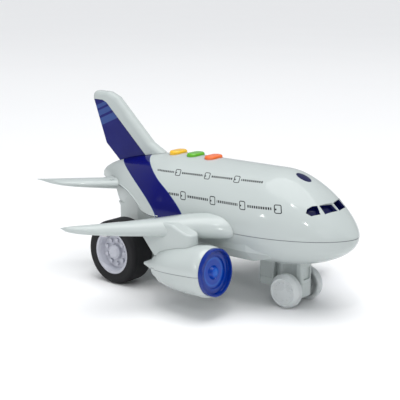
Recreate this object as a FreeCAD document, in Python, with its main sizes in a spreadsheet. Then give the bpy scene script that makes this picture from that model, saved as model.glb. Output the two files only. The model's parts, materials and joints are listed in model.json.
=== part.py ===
import FreeCAD, Part
import math
import os
import Sketcher
from FreeCAD import Placement, Rotation, Vector

# Push-along toy airliner in ABS, millimetres, +X nose, +Y port, +Z up.
# The origin is on the ground under the middle of the aircraft's bounding box.

doc = FreeCAD.newDocument("toy_airplane")
sheet = doc.addObject("Spreadsheet::Sheet", "sizes")

DRIVING_SIZES = [
    # fuselage: half-ellipses above and below the seam plane
    ("nose_x", 112.5), ("seam_height", 47.4), ("crown_rise", 35.5), ("half_width", 35.5),
    ("belly_drop", 21.5), ("wall", 2.0), ("skin_gap", 0.12), ("seam_gap", 0.1),
    ("tail_x", -93.5), ("tail_height", 60.0),
    # undercarriage box between the rear wheels
    ("box_half_width", 24.5), ("box_front_x", -14.0), ("box_rear_x", -60.0), ("box_base", 12.0), ("box_wall", 1.5),
    # wheels and axles
    ("rear_axle_x", -41.7), ("tyre_radius", 21.0), ("tyre_width", 18.0), ("tyre_face_y", 45.85),
    ("tyre_round", 3.0), ("hub_radius", 14.2), ("fit_gap", 0.05), ("rear_axle_radius", 1.5),
    ("front_axle_x", 72.0), ("front_wheel_radius", 10.6), ("front_wheel_width", 6.8),
    ("front_wheel_face_y", 15.6), ("front_axle_radius", 1.25), ("running_gap", 0.08),
    # friction motor gears
    ("gear_module", 0.5), ("flywheel_radius", 8.4),
    ("motor_pin_radius", 1.0),
    # engines
    ("engine_x", 51.0), ("engine_y", 55.0), ("engine_height", 28.4), ("engine_tilt", 5.0),
    ("lens_radius", 14.2), ("cowl_wall", 1.6),
    # buttons
    ("button_pitch", 14.8), ("button_first_x", -23.3), ("button_length", 8.4),
    ("button_width", 13.4), ("button_top", 84.5), ("button_gap", 0.3),
    # batteries and electronics
    ("cell_radius", 7.1), ("cell_length", 50.0), ("cell_pitch", 14.8), ("cell_start_x", -4.2),
    ("cell_height", 40.5), ("board_height", 70.6), ("board_thick", 1.2),
    # nose gear bracket
    ("bracket_half_width", 5.5), ("bracket_base", 5.8),
    # screws
    ("screw_radius", 1.3), ("screw_head_radius", 2.5), ("screw_head_depth", 1.8),
]
for row, (alias, value) in enumerate(DRIVING_SIZES, start=1):
    sheet.set(f"A{row}", alias)
    sheet.set(f"B{row}", str(value))
    sheet.setAlias(f"B{row}", alias)
doc.recompute()


def size(alias):
    return float(sheet.get(alias))


SEAM = size("seam_height")
WALL = size("wall")
NOSE_X = size("nose_x")
SIDES = (("right", -1), ("left", 1))

# ---------------------------------------------------------------- document helpers


def feature(label, shape):
    """A sub-part whose outline needs free curves: its finished solid goes in as one shape."""
    obj = doc.addObject("Part::Feature", label)
    obj.Label = label
    obj.Shape = shape
    return obj


def place(obj, x="0", y="0", z="0", axis=None, turn="0"):
    """Put an object somewhere, each coordinate an expression in the sheet's aliases."""
    if axis is not None:
        obj.Placement = Placement(Vector(), Rotation(axis, 1))
        obj.setExpression("Placement.Rotation.Angle", turn)
    for letter, text in zip("xyz", (x, y, z)):
        obj.setExpression(f"Placement.Base.{letter}", text)


def plane_of(body, role):
    return [f for f in body.Origin.OriginFeatures if f.Role == role][0]


def sketch_on(body, role, name):
    sketch = body.newObject("Sketcher::SketchObject", name)
    sketch.AttachmentSupport = [(plane_of(body, role), "")]
    sketch.MapMode = "FlatFace"
    return sketch


def pin_point(sketch, line, spot, tag, x, y):
    """Fix one point of a sketch by two dimensions bound to the sheet."""
    now = sketch.getPoint(line, spot)
    for letter, kind, text, value in (("x", "DistanceX", x, now.x), ("y", "DistanceY", y, now.y)):
        index = sketch.addConstraint(Sketcher.Constraint(kind, -1, 1, line, spot, value))
        sketch.renameConstraint(index, f"{tag}_{letter}")
        sketch.setExpression(f"Constraints.{tag}_{letter}", text)


def outline(sketch, points):
    """A closed outline of straight lines through points given as pairs of expressions."""
    count = len(points)
    for i in range(count):
        start = Vector(math.cos(2 * math.pi * i / count), math.sin(2 * math.pi * i / count), 0)
        end = Vector(math.cos(2 * math.pi * (i + 1) / count), math.sin(2 * math.pi * (i + 1) / count), 0)
        sketch.addGeometry(Part.LineSegment(start * 10, end * 10), False)
    for i in range(count):
        sketch.addConstraint(Sketcher.Constraint("Coincident", i, 2, (i + 1) % count, 1))
    for i, (x, y) in enumerate(points):
        pin_point(sketch, i, 1, f"p{i}", x, y)


def circle(sketch, radius, x="0", y="0"):
    index = sketch.addGeometry(Part.Circle(Vector(1, 1, 0), Vector(0, 0, 1), 1), False)
    ring = sketch.addConstraint(Sketcher.Constraint("Radius", index, 1.0))
    sketch.renameConstraint(ring, f"radius{index}")
    sketch.setExpression(f"Constraints.radius{index}", radius)
    pin_point(sketch, index, 3, f"c{index}", x, y)


def round_ended(sketch, grow):
    """The buttons' slot outline across the X axis, grown by this much: sides and round ends."""
    end = size("button_length") / 2 + grow
    reach = (size("button_width") - size("button_length")) / 2
    for turn in (0, math.pi):
        arc = Part.Circle(Vector(0, reach * math.cos(turn), 0), Vector(0, 0, 1), end)
        sketch.addGeometry(Part.ArcOfCircle(arc, turn, turn + math.pi), False)
    sketch.addGeometry(Part.LineSegment(Vector(-end, reach, 0), Vector(-end, -reach, 0)), False)
    sketch.addGeometry(Part.LineSegment(Vector(end, -reach, 0), Vector(end, reach, 0)), False)
    for first, first_end, second, second_end in ((0, 2, 2, 1), (2, 2, 1, 1), (1, 2, 3, 1), (3, 2, 0, 1)):
        sketch.addConstraint(Sketcher.Constraint("Tangent", first, first_end, second, second_end))
    sketch.addConstraint(Sketcher.Constraint("Equal", 0, 1))
    number = sketch.addConstraint(Sketcher.Constraint("Radius", 0, end))
    sketch.renameConstraint(number, "end_radius")
    sketch.setExpression("Constraints.end_radius", f"sizes.button_length / 2 + {grow}")
    spread = "(sizes.button_width - sizes.button_length) / 2"
    pin_point(sketch, 0, 3, "upper_end", "0", spread)
    pin_point(sketch, 1, 3, "lower_end", "0", f"-({spread})")


def new_body(label):
    body = doc.addObject("PartDesign::Body", label)
    body.Label = label
    return body


TURNING = {"X": ("XY_Plane", "H_Axis"), "Y": ("XY_Plane", "V_Axis"), "Z": ("XZ_Plane", "V_Axis")}


def turned(label, axis, profile):
    """A body turned about its own X, Y or Z axis: profile holds (along, radius) expressions."""
    body = new_body(label)
    role, reference = TURNING[axis]
    sketch = sketch_on(body, role, label + "_profile")
    outline(sketch, [(a, r) if axis == "X" else (r, a) for a, r in profile])
    turn = body.newObject("PartDesign::Revolution", label + "_turn")
    turn.Profile = sketch
    turn.ReferenceAxis = (sketch, [reference])
    turn.Angle = 360
    doc.recompute()
    return body


def add_pad(body, sketch, name, length, midplane=False, reverse=False):
    pad = body.newObject("PartDesign::Pad", name)
    pad.Profile = sketch
    pad.setExpression("Length", length)
    pad.Midplane = midplane
    pad.Reversed = reverse
    doc.recompute()
    return pad


def round_edges(body, name, radius, wanted):
    """Fillet the edges of the body's last feature for which wanted(edge) is true."""
    last = body.Tip
    names = [f"Edge{i}" for i, edge in enumerate(last.Shape.Edges, start=1) if wanted(edge)]
    fillet = body.newObject("PartDesign::Fillet", name)
    fillet.Base = (last, names)
    fillet.setExpression("Radius", radius)
    doc.recompute()


def cylinder_between(start, end, radius):
    direction = end - start
    return Part.makeCylinder(radius, direction.Length, start, direction)


def prism(points, low, high, flat="XZ"):
    """A straight-sided solid: an outline in X and Z swept along Y, or in X and Y along Z."""
    if flat == "XZ":
        corners = [Vector(x, low, z) for x, z in points]
        sweep = Vector(0, high - low, 0)
    else:
        corners = [Vector(x, y, low) for x, y in points]
        sweep = Vector(0, 0, high - low)
    return Part.Face(Part.makePolygon(corners + corners[:1])).extrude(sweep)


def block(x0, x1, y0, y1, z0, z1):
    return Part.makeBox(x1 - x0, y1 - y0, z1 - z0, Vector(x0, y0, z0))


def healed(shape):
    """The shape itself, or its tolerances repaired where a boolean left them too tight."""
    if not shape.isValid():
        shape = shape.copy()
        shape.fix(1e-4, 1e-4, 1e-2)
    return shape


def largest(shape):
    return max(shape.Solids, key=lambda solid: solid.Volume)


def mirrored(shape, side):
    """The starboard shape itself, or its port mirror image."""
    return shape if side < 0 else shape.mirror(Vector(), Vector(0, 1, 0))


# ---------------------------------------------------------------- fuselage


def swell(along, power, root):
    """Rises from 0 at the tip to 1 where the straight barrel starts."""
    part = min(max(along, 0.0), 1.0)
    return (1 - (1 - part) ** power) ** (1 / root)


CROWN_LENGTH, PLAN_LENGTH, BELLY_LENGTH, TAIL_LENGTH, TAIL_PLAN_LENGTH = 52.4, 66.3, 49.8, 75.0, 78.5


def crown(x, inset=0.0):
    """Height of the top of the fuselage above the seam plane."""
    front = size("crown_rise") * swell((NOSE_X - inset - x) / CROWN_LENGTH, 1.70, 1.18)
    tail_rise = size("tail_height") - SEAM
    rear_swell = swell((x - inset - size("tail_x")) / TAIL_LENGTH, 1.30, 1.85)
    rear = tail_rise + (size("crown_rise") - tail_rise) * rear_swell
    return min(front, rear) - inset


def plan(x, inset=0.0):
    """Half-width of the fuselage at the seam plane."""
    front = size("half_width") * swell((NOSE_X - inset - x) / PLAN_LENGTH, 2.12, 1.73)
    rear = size("half_width") * swell((x - inset - size("tail_x")) / TAIL_PLAN_LENGTH, 1.30, 1.15)
    return max(min(front, rear) - inset, 0.4)


def belly(x, inset=0.0):
    """Depth of the bottom of the fuselage below the seam plane."""
    return size("belly_drop") * swell((NOSE_X - inset - x) / BELLY_LENGTH, 1.91, 1.98) - inset


def cross_section(x, width, rise, middle, start):
    """A closed oval across the fuselage; start is the angle of its first point from the lowest."""
    points = []
    for step in range(16):
        angle = start + 2 * math.pi * step / 16
        points.append(Vector(x, width * math.sin(angle), middle - rise * math.cos(angle)))
    curve = Part.BSplineCurve()
    curve.interpolate(Points=points, PeriodicFlag=True)
    return Part.Wire(curve.toShape())


def stations(first_step, start, end, longest):
    """Section places from a rounded tip inwards, closer together near the tip."""
    places = []
    x, step = start, first_step
    while (end - x) * math.copysign(1, first_step) > 0:
        places.append(x)
        x += step
        step = math.copysign(min(abs(step) * 1.35, longest), step)
    return places + [end]


def fuselage_loft(rise, inset, rear_end, middle, start):
    front = stations(-1.0, NOSE_X - inset - 0.4, 0.0, 10.0)
    wires = [cross_section(x, plan(x, inset), rise(x, inset), middle, start) for x in front + rear_end]
    tip = Part.Vertex(NOSE_X - inset, 0, middle)
    return Part.makeLoft([tip] + wires, True, False)


def upper_solid(inset):
    """The upper fuselage; only its half above the seam is used."""
    rear = stations(1.2, size("tail_x") + inset + 0.3, -10.0, 9.0)
    return fuselage_loft(crown, inset, rear[::-1], SEAM + size("seam_gap"), 0.0)


def belly_solid(inset, rear_x, start=math.pi):
    """The lower fuselage; only its half below the seam plane is used."""
    return fuselage_loft(belly, inset, [rear_x], SEAM, start)


upper_outer = upper_solid(0.0)
upper_inner = upper_solid(WALL)
belly_outer = belly_solid(0.0, size("box_front_x"))
belly_inner = belly_solid(WALL, size("box_front_x") + WALL)

# The shells part on the seam plane ahead of the wing and on a rising lip behind it.
LIP = [(-10.0, SEAM), (-24.8, 48.4), (-35.0, 53.3), (-42.7, 56.1), (-50.9, 57.8), (-60.0, 58.4)]
BEYOND = 140.0


def under_lip(lift):
    """The space behind the wing and below the rising shut line, lifted by a little."""
    points = [Vector(x, -BEYOND, z + lift) for x, z in LIP]
    curve = Part.BSplineCurve()
    curve.interpolate(Points=points, InitialTangent=Vector(-1, 0, 0), FinalTangent=Vector(-1, 0, 0))
    corners = [points[-1], Vector(-BEYOND, -BEYOND, points[-1].z), Vector(-BEYOND, -BEYOND, 0),
               Vector(points[0].x, -BEYOND, 0), points[0]]
    straight = [Part.LineSegment(a, b).toShape() for a, b in zip(corners, corners[1:])]
    return Part.Face(Part.Wire([curve.toShape()] + straight)).extrude(Vector(0, 2 * BEYOND, 0))


def above_seam(lift):
    return block(-BEYOND, BEYOND, -BEYOND, BEYOND, SEAM + lift, BEYOND)


def below_seam(drop=0.0):
    return block(-BEYOND, BEYOND, -BEYOND, BEYOND, 0, SEAM - drop)


def flattened(corners, normal):
    """The corners moved along the normal into the plane through their middle."""
    middle = sum((Vector(*c) for c in corners), Vector()) * (1 / len(corners))
    return middle, [Vector(*c) - normal * (Vector(*c) - middle).dot(normal) for c in corners]


def opening(corners, normal, depth=9.0, flare=1.25):
    """A window hole through the skin, flared outwards for its moulded bevel."""
    normal = Vector(*normal).normalize()
    middle, flat = flattened(corners, normal)

    def ring(scale, shift):
        pts = [middle + (p - middle) * scale + normal * shift for p in flat]
        return Part.makePolygon(pts + pts[:1])

    straight = Part.Face(ring(1.0, -depth)).extrude(normal * depth)
    flared = Part.makeLoft([ring(1.0, -1.3), ring(flare, 1.2), ring(flare, 4.0)], True, True)
    return straight.fuse(flared)


FRONT_PANE = [(93.8, -10.0, 66.2), (95.9, -1.3, 66.0), (99.7, -1.3, 62.7), (97.8, -10.5, 62.3)]
SIDE_PANE = [(90.2, -18.8, 63.0), (90.0, -17.2, 65.0), (91.2, -14.4, 66.2), (92.8, -12.2, 66.3),
             (95.7, -13.6, 62.4), (93.0, -17.9, 61.9)]
CROWN_PANE_X, CROWN_PANE_LENGTH, CROWN_PANE_WIDTH, CROWN_PANE_TILT = 75.4, 10.4, 7.6, 24.0


def oval(length, width, height):
    """An upright elliptic post on the origin."""
    curve = Part.Ellipse(Vector(), max(length, width) / 2, min(length, width) / 2)
    if width > length:
        curve.rotate(Placement(Vector(), Rotation(Vector(0, 0, 1), 90)))
    return Part.Face(Part.Wire(curve.toShape())).extrude(Vector(0, 0, height))


def slot_post(x, grow, low, height):
    """An upright post with the buttons' round-ended outline, grown by a gap."""
    end = size("button_length") / 2 + grow
    reach = (size("button_width") - size("button_length")) / 2
    post = block(x - end, x + end, -reach, reach, low, low + height)
    for _, side in SIDES:
        post = post.fuse(Part.makeCylinder(end, height, Vector(x, side * reach, low)))
    return post.removeSplitter()


def crown_pane_post(grow, low, high):
    post = oval(CROWN_PANE_LENGTH + grow, CROWN_PANE_WIDTH + grow, high - low)
    base = Vector(CROWN_PANE_X, 0, SEAM + crown(CROWN_PANE_X))
    post.Placement = Placement(base, Rotation(Vector(0, 1, 0), CROWN_PANE_TILT))
    return post.translated(post.Placement.Rotation.multVec(Vector(0, 0, low)))


BUTTONS = ("yellow", "green", "orange")
button_x = [size("button_first_x") + i * size("button_pitch") for i in range(len(BUTTONS))]
SHELL_POSTS = [(60.0, 22.0), (-6.0, 27.5)]


def upper_shell():
    gap = size("seam_gap")
    shell = upper_outer.cut(upper_inner).common(above_seam(gap)).cut(under_lip(gap))
    posts, holes = [], [crown_pane_post(0.2, -8, 6), fin_tab(0.15)]
    for corners, normal in ((FRONT_PANE, (0.6, -0.05, 0.8)), (SIDE_PANE, (0.6, -0.5, 0.65))):
        holes += [mirrored(opening(corners, normal), side) for _, side in SIDES]
    for x in button_x:
        holes.append(slot_post(x, size("button_gap"), SEAM + size("crown_rise") - 8, 12))
    for _, side in SIDES:
        for x, y in SHELL_POSTS:
            posts.append(Part.makeCylinder(3.0, 30, Vector(x, side * y, SEAM + gap)))
            holes.append(Part.makeCylinder(1.2, 8, Vector(x, side * y, SEAM)))
        for x in BOARD_SCREW_X:
            foot = Vector(x, side * BOARD_SCREW_Y, size("board_height") + size("board_thick"))
            posts.append(Part.makeCylinder(2.2, 14, foot))
            holes.append(Part.makeCylinder(0.8, 4, foot))
        holes.append(mirrored(wing_tab(0.15), side))
        holes.append(mirrored(tailplane_tab(0.15), side))
    for post in posts:
        shell = shell.fuse(post.common(upper_outer))
    return healed(shell.cut(holes))


# ------------------------------------------------------- battery bay, board and speaker places

BOARD_REAR_X, BOARD_FRONT_X, BOARD_HALF_WIDTH = -33.0, 16.0, 15.5
BOARD_SCREW_X = (-30.0, 13.0)
BOARD_SCREW_Y = 13.0
SPEAKER_X, SPEAKER_HEIGHT, SPEAKER_RADIUS = 86.0, 38.5, 12.5
BAY_REAR_X, BAY_FRONT_X, BAY_HALF_WIDTH = -7.4, 49.2, 23.6
COVER_MARGIN = 3.5
RIM_DROP = 0.05
COVER_SCREW_X, COVER_TAB_HALF, COVER_SCREW_SEAT = -9.9, 3.2, 27.2


def bay_hatch(shrink):
    """The rectangle in the belly that the battery cover fills."""
    half = BAY_HALF_WIDTH - COVER_MARGIN - shrink
    hatch = block(BAY_REAR_X + COVER_MARGIN + shrink, BAY_FRONT_X - COVER_MARGIN - shrink,
                  -half, half, 20, 39)
    tab_half = COVER_TAB_HALF - shrink
    tab = block(COVER_SCREW_X - 2.0 + shrink, BAY_REAR_X + COVER_MARGIN + 1, -tab_half, tab_half, 20, 28)
    return hatch.fuse(tab)


def fairing():
    """Wing root fairing on the belly, facetted, its nose drawn forward to a point."""
    def ring(x, corners):
        pts = [Vector(x, -y, z) for y, z in corners]
        return Part.makePolygon(pts + pts[:1])

    top = SEAM - RIM_DROP - 0.01
    rear = ring(size("box_front_x") + 1, [(14, top), (35.2, top), (34.2, 37.5), (25.5, 29.0), (14, 28)])
    front = ring(57.5, [(14, top), (34.6, top), (33.2, 37.0), (25.0, 29.6), (14, 28)])
    point = ring(70.5, [(14, 40), (28.2, 37.6), (28.4, 36.0), (25.0, 33.4), (14, 33)])
    return Part.makeLoft([rear, front, point], True, True)


def tail_box(inset):
    """The undercarriage box, with the tail's underside running back and up from it."""
    top = 64.0
    front, rear, base = size("box_front_x"), size("box_rear_x"), size("box_base")
    half = size("box_half_width")
    side_view = [(front + 0.5 - inset, 27 + inset), (front - 6 - inset, base + 4.5 + inset),
                 (front - 17, base + inset), (rear + 5, base + inset), (rear + inset, base + 7),
                 (rear + inset, 45), (rear - 13 + inset, 56.5 + inset),
                 (size("tail_x") + 3 + 2 * inset, 57.5 + inset), (size("tail_x") + 3 + 2 * inset, top),
                 (front + 0.5 - inset, top)]
    plan_view = [(front + 5, half - inset), (-38.0, half - inset), (rear - 1, 17.5 - inset),
                 (size("tail_x") + 1, 4.5 - inset)]
    outline_points = plan_view + [(x, -y) for x, y in plan_view[::-1]]
    column = prism(outline_points, 0, 100, "XY")
    solid = prism(side_view, -half, half).common(column)
    roof = upper_solid(WALL + size("skin_gap") + inset)
    return solid.common(below_seam()).fuse(solid.common(roof).common(above_seam(0.0)))


def lower_shell():
    outer = belly_outer.common(below_seam(RIM_DROP))
    shell = outer.cut(belly_inner)
    for _, side in SIDES:
        shell = shell.fuse(mirrored(fairing(), side).cut(belly_inner))
    rear_zone = block(-BEYOND, size("box_front_x") + 0.1, -BEYOND, BEYOND, 0, BEYOND)
    box = tail_box(0.0).common(under_lip(1.5)).cut(tail_box(size("box_wall")))
    shell = shell.fuse(box.common(rear_zone))
    front = size("box_front_x")
    passage = block(front - 4, front + WALL + 1, -size("box_half_width") + WALL,
                    size("box_half_width") - WALL, 29.5, SEAM + 1)
    shell = shell.cut(passage)
    bosses, holes = [], []
    for x, y in SHELL_POSTS:
        for _, side in SIDES:
            bosses.append(Part.makeCylinder(3.6, 40, Vector(x, side * y, 10)).common(outer))
            holes.append(Part.makeCylinder(1.5, 60, Vector(x, side * y, 10)))
            holes.append(Part.makeCylinder(2.8, SCREW_SEAT - 10, Vector(x, side * y, 10)))
    tray = block(BAY_REAR_X, BAY_FRONT_X, -BAY_HALF_WIDTH, BAY_HALF_WIDTH, 20, SEAM)
    inside = block(BAY_REAR_X + 1.5, BAY_FRONT_X - 1.5, -BAY_HALF_WIDTH + 1.5, BAY_HALF_WIDTH - 1.5, 20, SEAM)
    bosses.append(tray.cut(inside).common(belly_outer))
    bosses.append(Part.makeCylinder(2.7, 8, Vector(COVER_SCREW_X, 0, 28.1)))
    holes.append(Part.makeCylinder(0.9, 6, Vector(COVER_SCREW_X, 0, 28)))
    ring = Part.makeCylinder(SPEAKER_RADIUS + 2, 20, Vector(SPEAKER_X, 0, SPEAKER_HEIGHT - 19))
    ring = ring.cut(Part.makeCylinder(SPEAKER_RADIUS - 1.5, 40, Vector(SPEAKER_X, 0, 10)))
    bosses.append(ring.common(belly_outer))
    for boss in bosses:
        shell = shell.fuse(boss)
    for radius, count in ((0, 1), (4, 6), (8, 12)):
        for i in range(count):
            angle = 2 * math.pi * i / count
            spot = Vector(SPEAKER_X + radius * math.cos(angle), radius * math.sin(angle), 10)
            holes.append(Part.makeCylinder(0.9, 26, spot))
    axle_hole = size("rear_axle_radius") + size("running_gap")
    holes.append(cylinder_between(Vector(size("rear_axle_x"), -30, size("tyre_radius")),
                                  Vector(size("rear_axle_x"), 30, size("tyre_radius")), axle_hole))
    for _, side in SIDES:
        holes += [mirrored(wing_tab(0.15), side), mirrored(tailplane_tab(0.15), side)]
    for x in BRACKET_SCREW_X:
        holes.append(Part.makeCylinder(1.0, 30, Vector(x, 0, 10)))
        holes.append(Part.makeCylinder(2.4, 6, Vector(x, 0, SEAM - belly(x, WALL) + 0.05)))
    holes.append(bay_hatch(0.0))
    return shell.cut(holes)


def battery_cover():
    """The piece of belly skin over the battery bay: a screw tab behind, two lugs in front."""
    skin = belly_outer.cut(belly_inner).common(bay_hatch(0.2))
    edge = BAY_FRONT_X - COVER_MARGIN
    for y in (-10.0, 10.0):
        riser = block(edge - 3.5, edge - 0.6, y - 3, y + 3, 27.0, 30.7)
        skin = skin.fuse(riser).fuse(block(edge - 2, edge + 1.5, y - 3, y + 3, 29.5, 30.7))
    through = Part.makeCylinder(1.05, 20, Vector(COVER_SCREW_X, 0, 20))
    seat = Part.makeCylinder(1.9, COVER_SCREW_SEAT - 20, Vector(COVER_SCREW_X, 0, 20))
    return skin.cut([through, seat])


# ---------------------------------------------------------------- wings and tail

# Stations of the starboard wing: distance out, leading edge, trailing edge, leading edge
# height, rise of the top and drop of the underside from the leading edge.
WING_STATIONS = [(31.0, 54.0, -0.5, 47.0, 9.7, 4.0), (38.0, 48.0, -2.0, 47.2, 9.3, 4.0),
                 (50.0, 32.0, -6.5, 47.6, 7.4, 3.8), (66.0, 14.5, -11.8, 48.4, 5.6, 3.3),
                 (80.0, 4.2, -16.3, 49.4, 4.5, 2.8), (94.0, -6.6, -22.0, 50.6, 3.2, 2.2),
                 (101.0, -13.6, -24.4, 51.3, 2.2, 1.7), (104.0, -18.6, -24.6, 51.7, 1.2, 1.0)]
TOP_CURVE = [(1.0, 0.26), (0.76, 0.66), (0.55, 0.90), (0.35, 1.0), (0.20, 0.90), (0.08, 0.62),
             (0.02, 0.30)]
UNDER_CURVE = [(0.02, 0.45), (0.08, 0.85), (0.20, 1.0), (0.55, 0.62), (1.0, 0.0)]


def aerofoil(y, lead, trail, height, rise, drop, edge=1.1):
    """One closed wing section across the chord at a distance y out to starboard."""
    chord = lead - trail
    points = [Vector(lead - u * chord, -y, height + v * rise) for u, v in TOP_CURVE]
    points.append(Vector(lead, -y, height))
    points += [Vector(lead - u * chord, -y, height - v * drop) for u, v in UNDER_CURVE[:-1]]
    points.append(Vector(trail, -y, points[0].z - edge * min(1.0, rise / 3)))
    curve = Part.BSplineCurve()
    curve.interpolate(points)
    return Part.Wire([curve.toShape(), Part.LineSegment(points[-1], points[0]).toShape()])


def lofted(station_rows):
    return Part.makeLoft([aerofoil(*row) for row in station_rows], True, False)


def inset_rows(rows, skin):
    """The same stations shrunk by the skin thickness, for hollowing a surface."""
    shrunk = []
    for y, lead, trail, height, rise, drop in rows:
        shrunk.append((y, lead - 1.4 * skin, trail + 2.2 * skin, height, rise - skin, drop - skin))
    return shrunk


WING_TAB_X = (10.0, 34.0)


def wing_tab(grow):
    """The tongue that the two fuselage shells trap at the seam."""
    x0, x1 = WING_TAB_X
    return block(x0 - grow, x1 + grow, -37.0, -29.5, SEAM - 2 - grow, SEAM + 2 + grow)


def pylon():
    """Engine pylon wrapped over the leading edge, its front rounded in plan."""
    half, front = 5.2, 37.8
    y = -size("engine_y")
    side_view = [(front, 48.4), (front, 38.0), (9.2, 32.0), (0.3, 42.0), (8.0, 49.5), (16.0, 53.4),
                 (23.0, 53.2), (30.0, 50.4)]
    web = prism(side_view, y - half, y + half)
    nose = Part.makeCylinder(half, 40, Vector(front - half, y, 20))
    body = nose.fuse(block(-10, front - half, y - half, y + half, 20, 60))
    solid = web.common(body)
    ridges = [e for e in solid.Edges if e.BoundBox.ZMin > 47.5 and e.BoundBox.XMax > 7]
    return softened(solid, 1.6, ridges)


def softened(solid, radius, edges):
    """The solid with these edges filleted, or a smaller fillet where the full one can't close."""
    for scale in (1.0, 0.6, 0.3):
        try:
            rounded = solid.makeFillet(radius * scale, edges)
        except Part.OCCError:
            continue
        if rounded.isValid() and rounded.Volume > 0:
            return rounded
    return solid


def clearance_solids():
    """Fuselage and fairings with their fitting gap, which wings and tail are trimmed to."""
    gap = size("skin_gap")
    solids = [upper_solid(-gap), belly_solid(-gap, size("box_front_x"), 0.0)]
    for _, side in SIDES:
        solids.append(mirrored(fairing().translated(Vector(0, -gap, 0)), side))
    return solids


def trimmed(shape, solids):
    for solid in solids:
        shape = shape.cut(solid)
    return shape


ROOT_RIB_Y = -39.5
WING_SKIN = 1.5


def wing_hollow():
    loft = lofted(inset_rows(WING_STATIONS[1:6], WING_SKIN))
    return loft.cut(block(-60, 80, ROOT_RIB_Y, 0, 20, 80))


def cover_column(shrink):
    """Plan of the underside cover, outboard of the pylon and clear of both edges."""
    near, far = WING_STATIONS[3], WING_STATIONS[5]
    near_y, far_y = -63.0 - shrink, -88.0 + shrink
    corners = [(near[1] - 4.0 - shrink, near_y), (far[1] - 0.5 - shrink, far_y),
               (far[2] + 5.5 + shrink, far_y), (near[2] + 5.5 + shrink, near_y)]
    return prism(corners, 38, 49.2, "XY")


def wing_screw_places():
    """Two screws on the cover's middle line."""
    return [(2.0, -69.0), (-8.0, -84.0)]


def one_solid(shape, label):
    """The shape, if it is still one valid solid; a failed boolean stops the script here."""
    if len(shape.Solids) != 1 or not shape.isValid():
        raise SystemExit(f"{label} is {len(shape.Solids)} solids, valid: {shape.isValid()}")
    return shape


def wing(keep_out):
    hollow = wing_hollow()
    tabs = wing_tab(0.0)
    casing = trimmed(lofted(WING_STATIONS), keep_out).cut(hollow)
    casing = casing.fuse(pylon().cut(hollow).cut(nacelle_solid(0.1)))
    casing = casing.fuse(tabs.fuse(tabs.translated(Vector(0, -2.2, 0))))
    for x, y in wing_screw_places():
        post = Part.makeCylinder(2.4, 20, Vector(x, y, 49.4)).common(lofted(WING_STATIONS))
        casing = casing.fuse(post).cut(Part.makeCylinder(0.9, 2.2, Vector(x, y, 49.0)))
    casing = casing.cut(cover_column(0.0))
    return one_solid(casing.cut(wire_path(1.3)), "wing")


def wing_cover():
    cover = lofted(WING_STATIONS).cut(wing_hollow()).common(cover_column(0.12))
    for x, y in wing_screw_places():
        cover = cover.cut(Part.makeCylinder(1.1, 20, Vector(x, y, 40)))
        cover = cover.cut(Part.makeCylinder(2.1, 7.2, Vector(x, y, 40)))
    return largest(cover)


# Stations of the starboard tailplane, in the same order as the wing's.
TAILPLANE_STATIONS = [(8.0, -53.0, -81.0, 58.0, 4.2, 3.2), (16.0, -60.0, -87.0, 58.3, 4.0, 3.0),
                      (26.0, -68.6, -96.3, 58.9, 3.4, 2.6), (36.0, -77.8, -104.6, 59.5, 2.7, 2.1),
                      (42.0, -84.5, -109.6, 59.9, 2.0, 1.6), (45.0, -91.0, -112.5, 60.1, 1.1, 1.0)]


def tailplane_tab(grow):
    return block(-76 - grow, -66 + grow, -20, -5.5, 59.4 - grow, 62.0 + grow)


def tailplane(keep_out):
    body = trimmed(lofted(TAILPLANE_STATIONS), keep_out + [tail_box(-size("skin_gap"))])
    joint = tailplane_tab(0.0).cut(block(-80, -60, -8, 0, 50, 70))
    return body.fuse(joint)


FIN_OUTLINE = [(-100.0, 118.4), (-84.5, 118.4), (-77.0, 115.4), (-46.0, 87.2), (-34.0, 81.2),
               (-34.0, 72.0), (-72.0, 64.0), (-74.2, 71.5), (-88.4, 83.6), (-99.6, 112.6)]
FIN_PANEL = [(-110.0, 112.6), (-89.5, 112.6), (-85.5, 111.0), (-49.6, 78.6), (-46.0, 60.0), (-110.0, 60.0)]
FIN_BORDER, FIN_WEB = 7.6, 5.0


def fin_tab(grow):
    return block(-62 - grow, -46 + grow, -1.5 - grow, 1.5 + grow, 66.0, 80.0)


def fin(keep_out):
    """Tail fin: a thick rounded border ahead and on top, a thinner panel behind it."""
    half = FIN_BORDER / 2
    slab = prism(FIN_OUTLINE, -half, half)
    upright = [e for e in slab.Edges if abs(e.BoundBox.YLength - FIN_BORDER) < 0.01]
    corners = [e for e in upright if e.BoundBox.ZMax > 117 or 86 < e.BoundBox.ZMax < 88]
    slab = softened(slab, 4.0, corners)
    rims = [e for e in slab.Edges if e.BoundBox.YLength < 0.01 and e.BoundBox.ZMax > 86
            and e.CenterOfMass.x > -98]
    slab = softened(slab, 3.2, rims)
    for side in (-1, 1):
        low, high = sorted((side * FIN_WEB / 2, side * (half + 1)))
        slab = slab.cut(prism(FIN_PANEL, low, high))
    return trimmed(slab, keep_out).fuse(fin_tab(0.0))


# ---------------------------------------------------------------- engines

COWL_PROFILE = [(0.0, 14.3), (-1.4, 14.9), (-9.0, 15.2), (-20.0, 14.4), (-31.0, 12.5), (-37.4, 10.7)]
CORE_REAR, CORE_RADIUS, CONE_RADIUS, CONE_TIP = -42.6, 8.6, 5.0, -54.6
BULKHEAD_X, LED_RADIUS = -9.5, 2.5
ENGINE_SCREW_X, ENGINE_SCREW_SEAT = -24.0, -5.0


def to_engine(shape):
    """From the engine's own axis along X to its place under the starboard wing."""
    moved = shape.copy()
    base = Vector(size("engine_x"), -size("engine_y"), size("engine_height"))
    moved.Placement = Placement(base, Rotation(Vector(0, 1, 0), -size("engine_tilt"))).multiply(moved.Placement)
    return moved


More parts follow.
